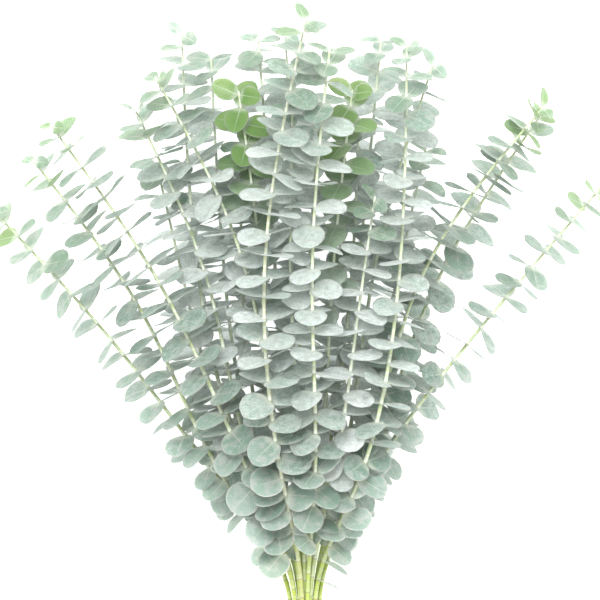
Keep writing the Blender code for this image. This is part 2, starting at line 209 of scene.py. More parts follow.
class Stem:  # the centre line of one stem from its cut end, with a side and an up direction
    def __init__(self, route, trim):
        x, z = bandSlot(route)
        *points, _, layer, _ = route
        sink = max(0.0, 1 - abs(points[-1][0]) / heap["flankReach"])
        shares = [lerp(left, 1, sink) for left in heap["flankRise"]]
        heights = [f + r * layer * s for f, r, s in zip(heap["foot"], heap["rise"], shares)]
        knots = [(x, 0, z)] + [(*point, height) for point, height in zip(points, heights)]
        above = smoothLine(knots, (0, 1, 0))
        down = np.linspace(heap["belowBand"] - trim, 0, 9)[:-1]
        spread = 1 + heap["splay"] * (down / heap["belowBand"]) ** 2
        below = np.stack([x * spread, -down, np.full(8, z)], axis=1)
        self.points = np.concatenate([below, above])
        steps = np.linalg.norm(np.diff(self.points, axis=0), axis=1)
        self.along = np.concatenate([[0], np.cumsum(steps)])
        self.length = self.along[-1]
        self.band = heap["belowBand"] - trim

    def at(self, s):
        return np.stack([np.interp(s, self.along, self.points[:, k]) for k in range(3)], axis=-1)

    def frameAt(self, s):  # (side, up, forward) at s; s may be a whole array
        s = np.asarray(s, float)
        reach = stemShape["frameHalf"]
        forward = self.at(np.minimum(s + reach, self.length)) - self.at(np.maximum(s - reach, 0))
        forward /= np.linalg.norm(forward, axis=-1, keepdims=True)
        side = np.cross(forward, [0, 0, 1])
        side /= np.linalg.norm(side, axis=-1, keepdims=True)
        return side, np.cross(side, forward), forward

    def radius(self, s):
        return lerp(stemShape["foot"], stemShape["tip"], (s / self.length) ** 2)

    def nodes(self, bare):  # where the leaf pairs stand, from the tip down to the bare part
        s, found = self.length - stemShape["topNode"], []
        while s > self.band + bare:
            found.append(s)
            uneven = 1 + stemShape["uneven"] * math.sin(2.4 * len(found) + 40 * self.length)
            young = stemShape["youngCloser"] * math.exp((1 - len(found)) / stemShape["youngFade"])
            s -= stemShape["internode"] * uneven * (1 - young)
        return found


class Leaf:  # where one leaf starts, its direction, breadth and face normal, and its size
    def __init__(self, root, outward, face, length, breadth):
        self.root, self.outward, self.face = root, outward, face
        self.across = np.cross(face, outward)
        self.length, self.breadth = length, breadth

    def point(self, out, across, lift=0.0):
        flat = self.outward * (out * self.length) + self.across * (across * self.breadth / 2)
        return self.root + flat + self.face * lift

    def plate(self, baseHalf):  # corners and faces of a flat plate a little larger than the leaf
        gap = leafShape["gap"]
        grow = gap / self.length
        wide = 1 + 2 * gap / self.breadth
        foot, end = baseHalf / (self.breadth / 2), leafShape["tipWidth"] * wide
        middle = leafShape["widestAt"]
        right = ((2 * grow, foot), (middle, wide), (1 + grow, end))
        outline = right + tuple((o, -a) for o, a in reversed(right))
        lift = leafShape["baseThickness"] / 2 + gap
        corners = [self.point(o, a, z) for z in (-lift, lift) for o, a in outline]
        n = len(outline)
        rim = [(i, (i + 1) % n, (i + 1) % n + n, i + n) for i in range(n)]
        return corners, [tuple(range(n))[::-1], tuple(range(n, 2 * n)), *rim]


def turned(vector, axis, angle):
    return vector * math.cos(angle) + np.cross(axis, vector) * math.sin(angle)


def postures():  # ways to ease a leaf out of its neighbours' way, the slightest first
    sizes = (1, 0.88, 0.76, 0.64, 0.52)
    droops, swings = (0, 13, -13, 26, -26, 40, 55), (0, 15, -15, 30, -30)
    ways = itertools.product(sizes, droops, swings)
    return sorted(ways, key=lambda w: (1 - w[0]) * 11 + abs(w[1]) / 13 + abs(w[2]) / 15)


class Heap:  # everything already in place: the stems, and the leaves placed so far
    def __init__(self, stems):
        self.tubes = {name: self.tube(stem) for name, stem in stems.items()}
        self.plates, self.centres = [], []

    @staticmethod
    def tube(stem):  # the stem as a six-sided tube, a little thicker than it is
        s = np.linspace(0, stem.length, 70)
        side, up, _ = stem.frameAt(s)
        radius = ((stem.radius(s) + 2 * leafShape["gap"]) * 1.15)[:, None, None]
        turn = math.tau * np.arange(6)[None, :, None] / 6
        ring = np.cos(turn) * side[:, None] + np.sin(turn) * up[:, None]
        rings = (stem.at(s)[:, None] + radius * ring).reshape(-1, 3)
        faces = [
            (6 * i + k, 6 * i + (k + 1) % 6, 6 * i + 6 + (k + 1) % 6, 6 * i + 6 + k)
            for i in range(69)
            for k in range(6)
        ]
        return BVHTree.FromPolygons([Vector(p) for p in rings], faces)

    def free(self, owner, leaf, baseHalf):  # the leaf's plate if nothing is in its way
        corners, faces = leaf.plate(baseHalf)
        if min(c[2] for c in corners) < 0:
            return None
        plate = BVHTree.FromPolygons([Vector(c) for c in corners], faces)
        if any(plate.overlap(tube) for name, tube in self.tubes.items() if name != owner):
            return None
        if self.centres:
            away = np.linalg.norm(np.array(self.centres) - leaf.point(0.5, 0), axis=1)
            for i in np.flatnonzero(away < leafShape["reach"]):
                if plate.overlap(self.plates[i]):
                    return None
        return plate

    def add(self, leaf, plate):
        self.plates.append(plate)
        self.centres.append(leaf.point(0.5, 0))


def leafWish(stem, s, k, half, turn, habit, dice):  # how the leaf on node k would stand by itself
    vigour, flank, (_, shrink, ahead, one, other, reach) = habit
    side, up, forward = stem.frameAt(s)
    share = s / stem.length
    age = 1 - math.exp(-(k + 0.5) / leafGrowth["growsOver"])
    opened = 1 - math.exp(-k / leafGrowth["opensOver"])
    low = (1 - share) ** 3
    turn -= leafGrowth["flattens"] * min(1, 2.5 * low) * (1 - flank) * math.sin(2 * turn) / 2
    leanHigh, leanLow = lerp(*leafShape["leanHigh"], flank), lerp(*leafShape["leanLow"], flank)
    lean = lerp(leanHigh, leanLow, low) + dice.normal(0, leafGrowth["leanSpread"])
    lean = math.radians(lean + (one, other)[half] * math.exp(-k / reach))
    droop = lerp(-ahead, leafGrowth["droop"], opened)
    droop = math.radians(droop + dice.normal(0, leafGrowth["droopSpread"]))
    (rollHigh, rollMore), (swingHigh, swingMore) = leafGrowth["rollSpread"], leafGrowth["swingSpread"]
    roll = math.radians(dice.normal(0, rollHigh + rollMore * low))
    swing = math.radians(dice.normal(0, swingHigh + swingMore * low))
    length = leafShape["length"] * vigour * (1 - shrink * math.exp(-k / leafGrowth["lengthensOver"]))
    length *= dice.uniform(*leafGrowth["lengths"])
    length *= lerp(1, leafGrowth["lowLength"], min(1, 2 * low))
    breadth = length * (leafShape["breadth"] * lerp(leafGrowth["youngBreadth"], 1, age))
    breadth *= dice.uniform(*leafGrowth["breadths"])
    lifted = up * math.cos(lean) - forward * math.sin(lean)
    normal = forward * math.cos(lean) + up * math.sin(lean)
    halfFlat = stem.radius(s) * math.cos(math.pi / 4)
    foot = stem.at(s) + halfFlat * (side * math.cos(turn) + up * math.sin(turn))

    def eased(way):
        size, moreDroop, moreSwing = way
        angle = turn + swing + math.radians(moreSwing)
        out = side * math.cos(angle) + lifted * math.sin(angle)
        fall = droop + math.radians(moreDroop)
        outward = out * math.cos(fall) - normal * math.sin(fall)
        face = turned(normal * math.cos(fall) + out * math.sin(fall), outward, roll)
        return Leaf(foot, outward, face, length * size, breadth * size)

    return eased


def growLeaves(stems):  # {branch: [(node number, place, leaf)]}: the top of the heap comes first
    heapNow, ways, grown = Heap(stems), postures(), {}
    order = sorted(enumerate(routes.items()), key=lambda item: -item[1][1][4])
    for number, (name, (_, _, tip, _, _, bare)) in order:
        dice = np.random.default_rng(heap["seed"] + number)
        stem = stems[name]
        vigour = dice.uniform(*leafGrowth["vigour"])
        flank = min(1, abs(tip[0]) / leafGrowth["flankWidth"])
        kind = "facing" if name in facingBranches else "level" if name in levelBranches else "usual"
        turnSpread = leafGrowth["turnSpread"]
        firstTurn = tipHabits[kind][0] + dice.uniform(-turnSpread, turnSpread)
        habit = (vigour, flank, tipHabits[kind])
        grown[name] = []
        for k, s in enumerate(stem.nodes(bare)):
            for half in (0, 1):
                turn = firstTurn + math.pi / 2 * ((k + 2 * half) % 4)
                eased = leafWish(stem, s, k, half, turn, habit, dice)
                for way in ways:
                    leaf = eased(way)
                    plate = heapNow.free(name, leaf, stem.radius(s))
                    if plate:
                        heapNow.add(leaf, plate)
                        grown[name].append((k, s, leaf))
                        break
    return grown


trims = np.random.default_rng(heap["seed"]).uniform(0, heap["trim"], len(routes))
stems = {name: Stem(routes[name], trim) for name, trim in zip(routes, trims)}
bandLow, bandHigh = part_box("binding_band")
bandMiddle = 0.6 * bandShape["width"]  # the band lies this far below the routes' zero
bandX, bandY = (bandLow.x + bandHigh.x) / 2, (bandLow.y + bandHigh.y) / 2
origin = np.array([bandX, bandY + bandMiddle, bandLow.z])
print("routes: ", len(stems), "stems, zero at", origin.round(4))
grown = growLeaves(stems)
print("leaves: ", sum(map(len, grown.values())), "placed")


def makeMesh(name, points, faces, sharp=None):  # edges between two of the sharp vertices stay crisp
    mesh = bpy.data.meshes.new(name)
    mesh.from_pydata(points, [], faces)
    mesh.update()
    mesh.polygons.foreach_set("use_smooth", np.ones(len(mesh.polygons), bool))
    if sharp is not None:
        ends = np.zeros(len(mesh.edges) * 2, np.int32)
        mesh.edges.foreach_get("vertices", ends)
        crisp = sharp[ends.reshape(-1, 2)].all(axis=1)
        mesh.attributes.new("sharp_edge", "BOOLEAN", "EDGE").data.foreach_set("value", crisp)
    piece = bpy.data.objects.new(name, mesh)
    bpy.context.scene.collection.objects.link(piece)
    return piece


def giveVectors(piece, name, *values):  # one vector for each vertex, from three lists of numbers
    layer = piece.data.attributes.new(name, "FLOAT_VECTOR", "POINT")
    layer.data.foreach_set("vector", np.stack(values, axis=1).astype(np.float32).ravel())


def placePiece(piece, material, node):
    piece.data.materials.append(material)
    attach(piece, "root")
    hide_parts(node)


def leafTemplate(rows, columns):
    # The upper grid, then the lower grid's inner points; both share the outline, so the blade is closed.
    upper = np.arange(rows * columns).reshape(rows, columns)
    lower = upper.copy()
    inner = (rows - 2) * (columns - 2)
    lower[1:-1, 1:-1] = rows * columns + np.arange(inner).reshape(rows - 2, columns - 2)
    a, b, c, d = upper[:-1, :-1], upper[:-1, 1:], upper[1:, 1:], upper[1:, :-1]
    top = np.stack([a, d, c, b], axis=-1).reshape(-1, 4)
    a, b, c, d = lower[:-1, :-1], lower[:-1, 1:], lower[1:, 1:], lower[1:, :-1]
    bottom = np.stack([a, b, c, d], axis=-1).reshape(-1, 4)
    rim = np.ones((rows, columns), bool)
    rim[1:-1, 1:-1] = False
    return np.concatenate([top, bottom]), np.concatenate([rim.ravel(), np.zeros(inner, bool)])


bladeShape = {
    "shortOfRound": (0.20, 0.16),  # angles the outline lacks at its foot and tip
    "power": (0.92, 1.25),  # of the sine, for an old leaf and a young one
    "notch": 0.075,  # how far the foot's lobes reach back, over the leaf's length
    "notchFade": 0.16,
    "point": 0.025,  # how far the tip stands out
    "pointFade": 0.05,
    "youngFold": 0.03,
    "flatFoot": 0.12,  # the blade leaves its foot flat over this share of its length
}
bladeDice = {  # drawn for each leaf between these
    "lopsided": (-0.12, 0.06),
    "skew": (-0.05, 0.05),
    "cup": (0.0, 0.085),
    "bend": (-0.11, 0.05),
    "fold": (0.0, 0.05),
    "wave": (0.0, 0.022),
    "waves": (0.8, 1.5),
    "waveStart": (0.0, 1.0),
}


def leafBlades(leaves, youth, dice):
    # x runs along the leaf as (1 - cos t) / 2 and the half breadth w is sin t, which draws a circle; a
    # young leaf takes sin t to a higher power, which draws a lance. Across it runs v, from -1 to 1. The
    # blade is cupped by v squared, folded by |v|, bent by x squared, and its margin waves by a sine.
    rows, columns, n = leafShape["rows"], leafShape["columns"], len(leaves)
    atFoot, atTip = bladeShape["shortOfRound"]
    t = np.linspace(atFoot, math.pi - atTip, rows)[None, :, None]
    v = np.sin(np.linspace(-1, 1, columns) * math.pi / 2)[None, None, :]
    length = np.array([leaf.length for leaf in leaves])[:, None, None]
    breadth = np.array([leaf.breadth for leaf in leaves])[:, None, None]
    youth = youth[:, None, None]
    own = {key: dice.uniform(*limits, n)[:, None, None] for key, limits in bladeDice.items()}
    x = (1 - np.cos(t)) / 2
    w = np.sin(t) ** lerp(*bladeShape["power"], youth) * (1 + own["lopsided"] * (x - 0.5))
    notch = bladeShape["notch"] * (1 - youth) * np.exp(-x / bladeShape["notchFade"])
    point = bladeShape["point"] * np.exp(-((1 - x) / bladeShape["pointFade"]))
    along = x - notch * v**2 + point * (1 - np.abs(v))
    fold = own["fold"] + bladeShape["youngFold"] * youth
    wave = own["wave"] * np.sin(math.tau * (own["waves"] * x + own["waveStart"]) + v)
    lift = own["cup"] * (v * w) ** 2 + fold * np.abs(v) * w
    lift = lift + own["bend"] * x**2 + wave * np.abs(v) ** 3 * w
    lift = lift * np.minimum(1, x / bladeShape["flatFoot"])
    out = (along + own["skew"] * v * w * x) * length
    side = v * w * breadth / 2
    root, outward, across, face = (
        np.array([getattr(leaf, key) for leaf in leaves])[:, None, None]
        for key in ("root", "outward", "across", "face")
    )
    flat = root + outward * out[..., None] + across * (side + 0 * out)[..., None]
    middle = flat + face * (lift * length)[..., None]
    thin = leafShape["half"] * face
    inside = np.zeros((1, rows, columns, 1))
    inside[:, 1:-1, 1:-1] = 1
    upper = (middle + thin * inside).reshape(n, -1, 3)
    lower = (middle - thin)[:, 1:-1, 1:-1].reshape(n, -1, 3)
    points = np.concatenate([upper, lower], axis=1) + origin
    points[..., 2] = np.maximum(points[..., 2], leafShape["lowest"])

    def both(grid):  # a value for each vertex, on the upper and then the lower side
        grid = np.broadcast_to(grid, (n, rows, columns))
        return np.concatenate([grid.reshape(n, -1), grid[:, 1:-1, 1:-1].reshape(n, -1)], axis=1).ravel()

    margin = np.maximum(np.abs(v), 2 * x - 1)
    return points, both(out * 1000), both(side * 1000), both(margin), both(x)


coatAndLightPaint = {  # how thick the wax on a leaf is, by the share of the stem below it, with painted light that makes branches lying in shade inside the heap paler
    "thickens": (0.26, 0.34),  # from here on, over this much of the stem
    "thins": (0.82, 0.14),  # the same, at the top
    "low": -0.25,
    "high": -0.08,
    "highWaxAndPaintedLight": 1.4,  # added for a branch painted wholly pale: wax, and painted light that lifts branches lying in shade inside the heap
    "tipKeeps": 0.05,  # share of that difference at the very tip
    "spread": 0.10,  # from leaf to leaf
    "limits": (-0.40, 0.85),
    "greenFade": 9,  # leaf pairs over which a green tip turns grey
    "youngGreen": 0.25,
    "flushGreen": 0.75,
    "flushFade": 2.5,
    "newestGreen": 0.6,
    "newestShare": 0.4,  # of the second and third pairs
    "lessGreenWhenLifted": 0.8,  # how much less of that green a branch painted pale, by wax and painted light, has
}


def leafTones(k, share, youth, waxAndPaintedLight, green, dice):  # (coat of wax with painted light, green) of each leaf
    (start, over), (topStart, topOver) = coatAndLightPaint["thickens"], coatAndLightPaint["thins"]
    grownUp = np.clip((share - start) / over, 0, 1)
    topmost = np.clip((share - topStart) / topOver, 0, 1)
    # The branch's first trait lifts the top of the coat: partly wax, partly painted light that makes
    # branches lying in shade inside the heap paler.
    high = coatAndLightPaint["high"] + coatAndLightPaint["highWaxAndPaintedLight"] * waxAndPaintedLight
    rise = grownUp * grownUp * (3 - 2 * grownUp) * (1 - (1 - coatAndLightPaint["tipKeeps"]) * topmost)
    coatAndPaintedLight = lerp(coatAndLightPaint["low"], high, rise) + dice.normal(0, coatAndLightPaint["spread"], len(k))
    flush = dice.uniform(0.0, 1.0, len(k)) * np.exp(-k / coatAndLightPaint["flushFade"])
    newest = (k > 0) & (k < 3) & (dice.uniform(0, 1, len(k)) < coatAndLightPaint["newestShare"])
    young = coatAndLightPaint["youngGreen"] * youth + coatAndLightPaint["flushGreen"] * flush
    young = young + coatAndLightPaint["newestGreen"] * newest
    fresh = green * np.exp(-k / coatAndLightPaint["greenFade"]) + young * (1 - coatAndLightPaint["lessGreenWhenLifted"] * waxAndPaintedLight)
    return np.clip(coatAndPaintedLight, *coatAndLightPaint["limits"]), np.clip(fresh, 0, 1)


def makeLeaves(name, stem, leaves, traits, dice):
    waxAndPaintedLight, green, _ = traits
    template, rim = leafTemplate(leafShape["rows"], leafShape["columns"])
    k = np.array([pair for pair, _, _ in leaves], float)
    share = np.array([s for _, s, _ in leaves]) / stem.length
    youth = np.exp(-k / 2.2)
    points, outMm, sideMm, margin, x = leafBlades([leaf for _, _, leaf in leaves], youth, dice)
    n, each = points.shape[:2]
    faces = (template[None] + (np.arange(n) * each)[:, None, None]).reshape(-1, 4)
    piece = makeMesh(name + "_leaves", points.reshape(-1, 3), faces.tolist(), np.tile(rim, n))
    ownPattern = np.repeat(dice.uniform(0, 900, n), each)
    giveVectors(piece, "blade", outMm, sideMm, ownPattern)
    giveVectors(piece, "outline", margin, x, 0 * x)
    coatAndPaintedLight, fresh = leafTones(k, share, youth, waxAndPaintedLight, green, dice)
    giveVectors(piece, "tone", np.repeat(coatAndPaintedLight, each), np.repeat(fresh, each), 0 * x)
    return piece


def makeStem(name, stem, bare, traits):
    # A tube whose section is a circle pulled a little square by cos 4a, thicker at each node by a
    # bell curve, closed by a slanting cut at the foot and a rounded bud at the tip.
    waxAndPaintedLight, _, blush = traits
    step, sides = stemShape["internode"], stemShape["sides"]
    nodes = np.array(stem.nodes(bare))
    knots = np.concatenate([nodes, np.arange(nodes[-1] - step, 0.004, -step)])
    near = (knots[:, None] + np.array(stemShape["nodeRings"])).ravel()
    spaced = np.arange(stemShape["firstRing"], stem.length, stemShape["ringEvery"])
    s = np.concatenate([[0.0], spaced, near])
    s = np.unique(np.clip(s, 0, stem.length).round(5))
    away = s[:, None] - knots[None]
    offset = away[np.arange(len(s)), np.abs(away).argmin(axis=1)]
    bell = np.exp(-((offset / stemShape["swellReach"]) ** 2))
    bud = np.array(stemShape["budEnds"])
    budRadius = stem.radius(stem.length) * np.array(stemShape["budWidths"])
    radius = np.concatenate([stem.radius(s) * (1 + stemShape["swell"] * bell), budRadius])
    tipS = np.full(len(bud), stem.length)
    side, up, forward = stem.frameAt(np.concatenate([s, tipS]))
    budCentre = stem.at(tipS) + forward[-len(bud) :] * bud[:, None]
    centre = np.concatenate([stem.at(s), budCentre])
    a = math.tau * np.arange(sides)[None, :, None] / sides
    ring = side[:, None] * np.cos(a) - up[:, None] * np.sin(a)
    tube = centre[:, None] + radius[:, None, None] * (1 + stemShape["square"] * np.cos(4 * a)) * ring
    tube[0] += forward[0] * (stemShape["cutSlant"] * stem.radius(0) * np.sin(a[0]))
    count = len(tube)
    ends = [centre[0], centre[-1] + forward[-1] * 0.0002]
    points = np.concatenate([tube.reshape(-1, 3), ends]) + origin
    i, j = np.arange(count - 1)[:, None] * sides, np.arange(sides)[None, :]
    beside = (j + 1) % sides
    quads = np.stack([i + j, i + beside, i + sides + beside, i + sides + j], axis=-1).reshape(-1, 4)
    foot, tip, last = count * sides, count * sides + 1, (count - 1) * sides
    fans = [(foot, (q + 1) % sides, q) for q in range(sides)]
    fans += [(tip, last + q, last + (q + 1) % sides) for q in range(sides)]
    crisp = np.arange(len(points)) < sides  # the rim of the cut
    piece = makeMesh(name + "_stem", points, quads.tolist() + fans, crisp)

    def perPoint(ofRings, ofFoot, ofTip):  # a value for each vertex from one for each ring
        return np.concatenate([np.repeat(ofRings, sides), [ofFoot, ofTip]])

    fromNodeMm = perPoint(np.concatenate([offset, np.full(len(bud), 0.002)]) * 1000, 9, 2)
    share = perPoint(np.concatenate([s, stem.length + bud]) / stem.length, 0, 1)
    skin = perPoint(np.ones(count), 0, 1)  # 0 in the middle of the cut
    giveVectors(piece, "stalk", fromNodeMm, share, skin)
    # The bark's blush, and the branch's wax with painted light that makes branches in shade inside the
    # heap paler.
    giveVectors(piece, "blushWaxAndPaintedLight", 0 * skin + blush, 0 * skin + waxAndPaintedLight, 0 * skin)
    return piece


def linear(hexColour):  # sRGB hex to linear
    parts = [int(hexColour[i : i + 2], 16) / 255 for i in (1, 3, 5)]
    return (*[p / 12.92 if p <= 0.04045 else ((p + 0.055) / 1.055) ** 2.4 for p in parts], 1)


def addNode(tree, kind, settings, inputs, output=0):
    # Adds a node with its settings, sets or links its inputs, and gives the output that is asked for.
    node = tree.nodes.new("ShaderNode" + kind)
    for key, value in settings.items():
        setattr(node, key, value)
    for key, value in inputs.items():
        if isinstance(value, bpy.types.NodeSocket):
            tree.links.new(value, node.inputs[key])
        else:
            node.inputs[key].default_value = value
    return node.outputs[output] if node.outputs else None


def newMaterial(name):
    material = bpy.data.materials.new(name)
    material.use_nodes = True
    material.node_tree.nodes.clear()
    return material, material.node_tree


smoothStep, colourMix = {"interpolation_type": "SMOOTHSTEP"}, {"data_type": "RGBA"}
add, subtract = {"operation": "ADD"}, {"operation": "SUBTRACT"}
multiply, divide = {"operation": "MULTIPLY"}, {"operation": "DIVIDE"}
multiplyAdd, pingPong = {"operation": "MULTIPLY_ADD"}, {"operation": "PINGPONG"}
absolute, clampedProduct = {"operation": "ABSOLUTE"}, {"operation": "MULTIPLY", "use_clamp": True}

leafPaint = {
    "deep": "#688473",  # grown leaf under little wax
    "bloomed": "#e9f5f2",  # leaf under a full coat of wax
    "worn": "#9fa09c",  # where the wax is rubbed and the leaf has flushed
    "fresh": "#517d1e",  # new leaf before the wax comes
    "rib": "#d8e1cd",
    "edge": "#857c78",
    "bloomPatchMm": 6.0,
    "bloomGrainMm": 1.3,
    "wornPatchMm": 11.0,
    "veinStepMm": 3.4,
    "veinSlant": 0.95,  # how far a side vein runs forward while it runs one step sideways
    "veinWobbleMm": 2.0,
    "veinShow": 0.15,
    "patchShow": 0.95,
    "grainShow": 0.85,
    "freshShow": 0.92,
    "rough": (0.46, 0.66),  # bare and waxed
    "glow": 0.85,  # share of the light that passes into the thin blade
    "glowReach": 0.004,
}
leafRamps = {  # what it reads, where it starts and ends, and what it gives there
    "vein": ("fromVein", 0.0, 0.10, 1.0, 0.0),
    "rib": ("sideMm", 0.25, 0.75, 1.0, 0.0),
    "foot": ("outMm", 1.0, 8.0, 0.45, 0.0),
    "edge": ("margin", 0.86, 1.0, 0.0, 0.75),
    "worn": ("rubbed", 0.44, 0.66, 0.0, 0.6),
}


def leafMaterial(paint):
    # Juvenile eucalyptus leaf: leathery and matt under a grey wax bloom that lies unevenly and is
    # rubbed off in places; the bloom is painted thicker, as painted light, on branches lying in shade
    # inside the heap. The midrib, the fine side veins and the foot are paler, and the margin is a
    # thin darker line. Light shines through the blade a little.
    material, tree = newMaterial("waxyEucalyptusLeaf")
    blade = addNode(tree, "Attribute", {"attribute_name": "blade"}, {}, "Vector")
    outMm, acrossMm, _ = addNode(tree, "SeparateXYZ", {}, {0: blade}).node.outputs
    outline = addNode(tree, "Attribute", {"attribute_name": "outline"}, {}, "Vector")
    margin, along, _ = addNode(tree, "SeparateXYZ", {}, {0: outline}).node.outputs
    tone = addNode(tree, "Attribute", {"attribute_name": "tone"}, {}, "Vector")
    evenCoatAndPaintedLight, fresh, _ = addNode(tree, "SeparateXYZ", {}, {0: tone}).node.outputs
    patches = {"Vector": blade, "Scale": 1 / paint["bloomPatchMm"], "Detail": 3.0, "Roughness": 0.6}
    patch = addNode(tree, "TexNoise", {}, patches)
    grains = {"Vector": blade, "Scale": 1 / paint["bloomGrainMm"], "Detail": 2.0}
    grain = addNode(tree, "TexNoise", {}, grains)
    elsewhere = addNode(tree, "Mapping", {}, {"Vector": blade, "Location": (40, 90, 10)})
    rubs = {"Vector": elsewhere, "Scale": 1 / paint["wornPatchMm"], "Detail": 4.0, "Roughness": 0.7}
    rubbed = addNode(tree, "TexNoise", {}, rubs)
    sideMm = addNode(tree, "Math", absolute, {0: acrossMm})
    ahead = addNode(tree, "Math", multiply, {0: sideMm, 1: paint["veinSlant"]})
    slanting = addNode(tree, "Math", subtract, {0: outMm, 1: ahead})
    wobble = addNode(tree, "Math", multiplyAdd, {0: patch, 1: paint["veinWobbleMm"], 2: 0.5})
    wavy = addNode(tree, "Math", add, {0: slanting, 1: wobble})
    phase = addNode(tree, "Math", divide, {0: wavy, 1: paint["veinStepMm"]})
    fromVein = addNode(tree, "Math", pingPong, {0: phase, 1: 0.5})
    sockets = {"fromVein": fromVein, "sideMm": sideMm, "outMm": outMm, "margin": margin, "rubbed": rubbed}
    ramps = {}
    for name, (socket, *limits) in leafRamps.items():
        inputs = {0: sockets[socket], **dict(enumerate(limits, 1))}
        ramps[name] = addNode(tree, "MapRange", smoothStep, inputs)
    unevenPatch = addNode(tree, "Math", subtract, {0: patch, 1: 0.5})
    # The even coat read from the tone attribute holds painted light besides wax: branches in shade inside
    # the heap are painted paler.
    patchyCoatAndPaintedLight = addNode(tree, "Math", multiplyAdd, {0: unevenPatch, 1: paint["patchShow"], 2: evenCoatAndPaintedLight})
    unevenGrain = addNode(tree, "Math", subtract, {0: grain, 1: 0.5})
    coatAndPaintedLight = addNode(tree, "Math", multiplyAdd, {0: unevenGrain, 1: paint["grainShow"], 2: patchyCoatAndPaintedLight})
    ribFade = addNode(tree, "MapRange", {}, {0: along, 1: 0.1, 2: 0.95, 3: 0.42, 4: 0.05})
    layers = (
        (coatAndPaintedLight, "bloomed"),
        (ramps["worn"], "worn"),
        (addNode(tree, "Math", clampedProduct, {0: fresh, 1: paint["freshShow"]}), "fresh"),
        (addNode(tree, "Math", multiply, {0: ramps["vein"], 1: paint["veinShow"]}), "rib"),
        (addNode(tree, "Math", multiply, {0: ramps["rib"], 1: ribFade}), "rib"),
        (ramps["foot"], "rib"),
        (ramps["edge"], "edge"),
    )
    colour = linear(paint["deep"])
    for share, name in layers:  # each lies over the ones before it
        shades = {"Factor": share, 6: colour, 7: linear(paint[name])}
        colour = addNode(tree, "Mix", colourMix, shades, 2)
    sunkVein = addNode(tree, "Math", multiply, {0: ramps["vein"], 1: -0.4})
    sunkRib = addNode(tree, "Math", subtract, {0: grain, 1: ramps["rib"]})
    height = addNode(tree, "Math", add, {0: sunkVein, 1: sunkRib})
    bareRough, waxedRough = paint["rough"]
    skin = {
        "Base Color": colour,
        "Roughness": addNode(tree, "MapRange", {}, {0: coatAndPaintedLight, 3: bareRough, 4: waxedRough}),
        "Normal": addNode(tree, "Bump", {}, {"Strength": 0.25, "Distance": 0.0003, "Height": height}),
        "IOR": 1.45,
        "Sheen Weight": 0.15,
        "Sheen Roughness": 0.5,
        "Subsurface Weight": paint["glow"],
        "Subsurface Radius": (1, 1, 1),
        "Subsurface Scale": paint["glowReach"],
    }
    addNode(tree, "OutputMaterial", {}, {"Surface": addNode(tree, "BsdfPrincipled", {}, skin)})
    return material


stemPaint = {
    "grown": "#c6d4a6",  # green bark under thin wax
    "bright": "#b8cc40",  # just under a node, and low on the stem
    "waxed": "#e6ecdc",  # wax collar at a node
    "blush": "#b39a86",  # sun-reddened bark
    "scar": "#96806a",  # line where a leaf sat
    "pith": "#e9e6c8",
    "streaks": (900, 120, 900),  # a streak is about 1 mm wide and 8 mm long
    "streakWax": 0.35,
    "collarWax": 0.6,
    "extraWaxAndPaintedLight": 0.4,  # more wax white on a branch painted pale: partly wax, partly painted light on branches lying in shade inside the heap
    "underShow": 0.9,
}
stemRamps = {  # the same as for the leaves; nodeMm is measured from the nearest node, towards the tip
    "underNode": ("nodeMm", -9.0, -2.5, 0.25, 1.0),
    "beforeNode": ("nodeMm", -1.6, -0.4, 1.0, 0.0),
    "collarStart": ("nodeMm", -0.6, 0.4, 0.0, 1.0),
    "collarEnd": ("nodeMm", 1.0, 6.0, 1.0, 0.0),
    "scarLine": ("farMm", 0.2, 0.75, 1.0, 0.0),
    "lowUnder": ("share", 0.10, 0.75, 1.0, 0.25),
    "lowBright": ("share", 0.10, 0.32, 0.85, 0.0),
    "highWax": ("share", 0.12, 0.4, 0.25, 1.0),
    "lowScar": ("share", 0.2, 0.5, 0.7, 0.15),
    "sunny": ("streak", 0.25, 0.75, 0.55, 1.0),
    "cut": ("skin", 0.75, 0.95, 1.0, 0.0),
}


